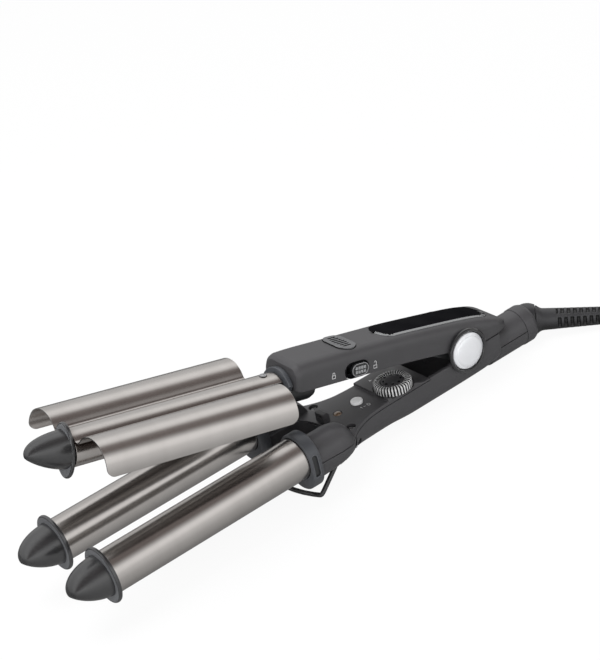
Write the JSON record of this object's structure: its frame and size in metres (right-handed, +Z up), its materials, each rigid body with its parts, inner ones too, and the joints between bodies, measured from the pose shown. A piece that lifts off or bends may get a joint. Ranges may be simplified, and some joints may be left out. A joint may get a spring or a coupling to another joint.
{
  "type": "hair waver",
  "caption": "Hair waver whose hinged upper arm presses a heated barrel and a curved sheet between the lower barrels, with dial, button, slide lock, wire stand and swivel cord.",
  "frame": {"origin": "centre of the footprint of the tool without its free cord, on the table it stands on", "axes": "+X along the lower arm from the barrel tips to the cord, +Y to the left hand of somebody who looks along +X, +Z up"},
  "size_m": [0.488, 0.1189, 0.0972],
  "materials": {
    "housing": "soft-touch satin",
    "trim": "gloss black",
    "collar": "matt",
    "tip": "matt heat-proof",
    "titanium": "satin warm grey coating",
    "steel": "plain",
    "chrome": "bright satin",
    "button": "silver paint",
    "ring": "clear-silver knurled",
    "lens": "amber smoke",
    "board": "green laminate",
    "ceramic": "ceramic plate",
    "switch": "moulded",
    "rubber": "matt cord sheath",
    "brass": "plated"
  },
  "bodies": {
    "lower_arm": {"lower_housing": "housing", "lower_cover": "housing", "tail_cover": "housing", "end_collar": "housing", "left_collar": "collar", "right_collar": "collar", "left_barrel": "titanium", "right_barrel": "titanium", "left_heater": "ceramic", "right_heater": "ceramic", "left_tip": "tip", "right_tip": "tip", "catch_block": "trim", "pilot_lens": "lens", "left_cover_screw": "steel", "right_cover_screw": "steel", "circuit_board": "board", "switch_body": "switch", "dial_potentiometer": "switch", "hinge_pin": "steel", "left_hinge_cap": "chrome", "right_hinge_cap": "chrome", "left_cap_ring": "chrome", "right_cap_ring": "chrome", "torsion_spring": "steel", "swivel_ball": "housing", "cord_tube": "rubber", "cord_coil": "rubber", "coil_tie": "rubber", "plug_body": "rubber", "left_plug_pin": "brass", "right_plug_pin": "brass"},
    "upper_arm": {"upper_housing": "housing", "upper_cover": "housing", "name_panel": "trim", "vent_badge": "trim", "lock_bezel": "trim", "centre_barrel": "titanium", "centre_heater": "ceramic", "centre_flange": "collar", "centre_tip": "tip", "wave_plate": "titanium", "plate_screw": "steel"},
    "lock_slide": {"lock_slider": "trim"},
    "power_key": {"power_button": "button"},
    "dial": {"dial_ring": "ring", "dial_cap": "trim"},
    "stand": {"wire_stand": "trim"},
    "cord_swivel": {"strain_relief": "rubber"}
  },
  "joints": [
    {"name": "jaw", "type": "hinge", "parent": "lower_arm", "child": "upper_arm", "pos_m": [0.0959, 0, 0.0247], "axis": [0, -1, 0], "range_deg": [0, 12], "stiffness_Nm_per_rad": 1, "springref_deg": -20},
    {"name": "lock", "type": "slide", "parent": "upper_arm", "child": "lock_slide", "axis": [-0.9677, 0, 0.2521], "range_m": [0, 0.0032]},
    {"name": "power_press", "type": "slide", "parent": "lower_arm", "child": "power_key", "axis": [0, 0, -1], "range_m": [0, 0.0008], "stiffness_N_per_m": 500, "springref_m": -0.001},
    {"name": "dial_turn", "type": "hinge", "parent": "lower_arm", "child": "dial", "pos_m": [0.0519, -0.0065, 0.027], "axis": [0, 0, 1], "range_deg": [-140, 140]},
    {"name": "stand_fold", "type": "hinge", "parent": "lower_arm", "child": "stand", "pos_m": [-0.0031, 0, 0.0131], "axis": [0, 1, 0], "range_deg": [-100, 0]},
    {"name": "cord_turn", "type": "hinge", "parent": "lower_arm", "child": "cord_swivel", "pos_m": [0.1499, 0, 0.0104], "axis": [0.7503, -0.6535, -0.0998], "continuous": true}
  ]
}
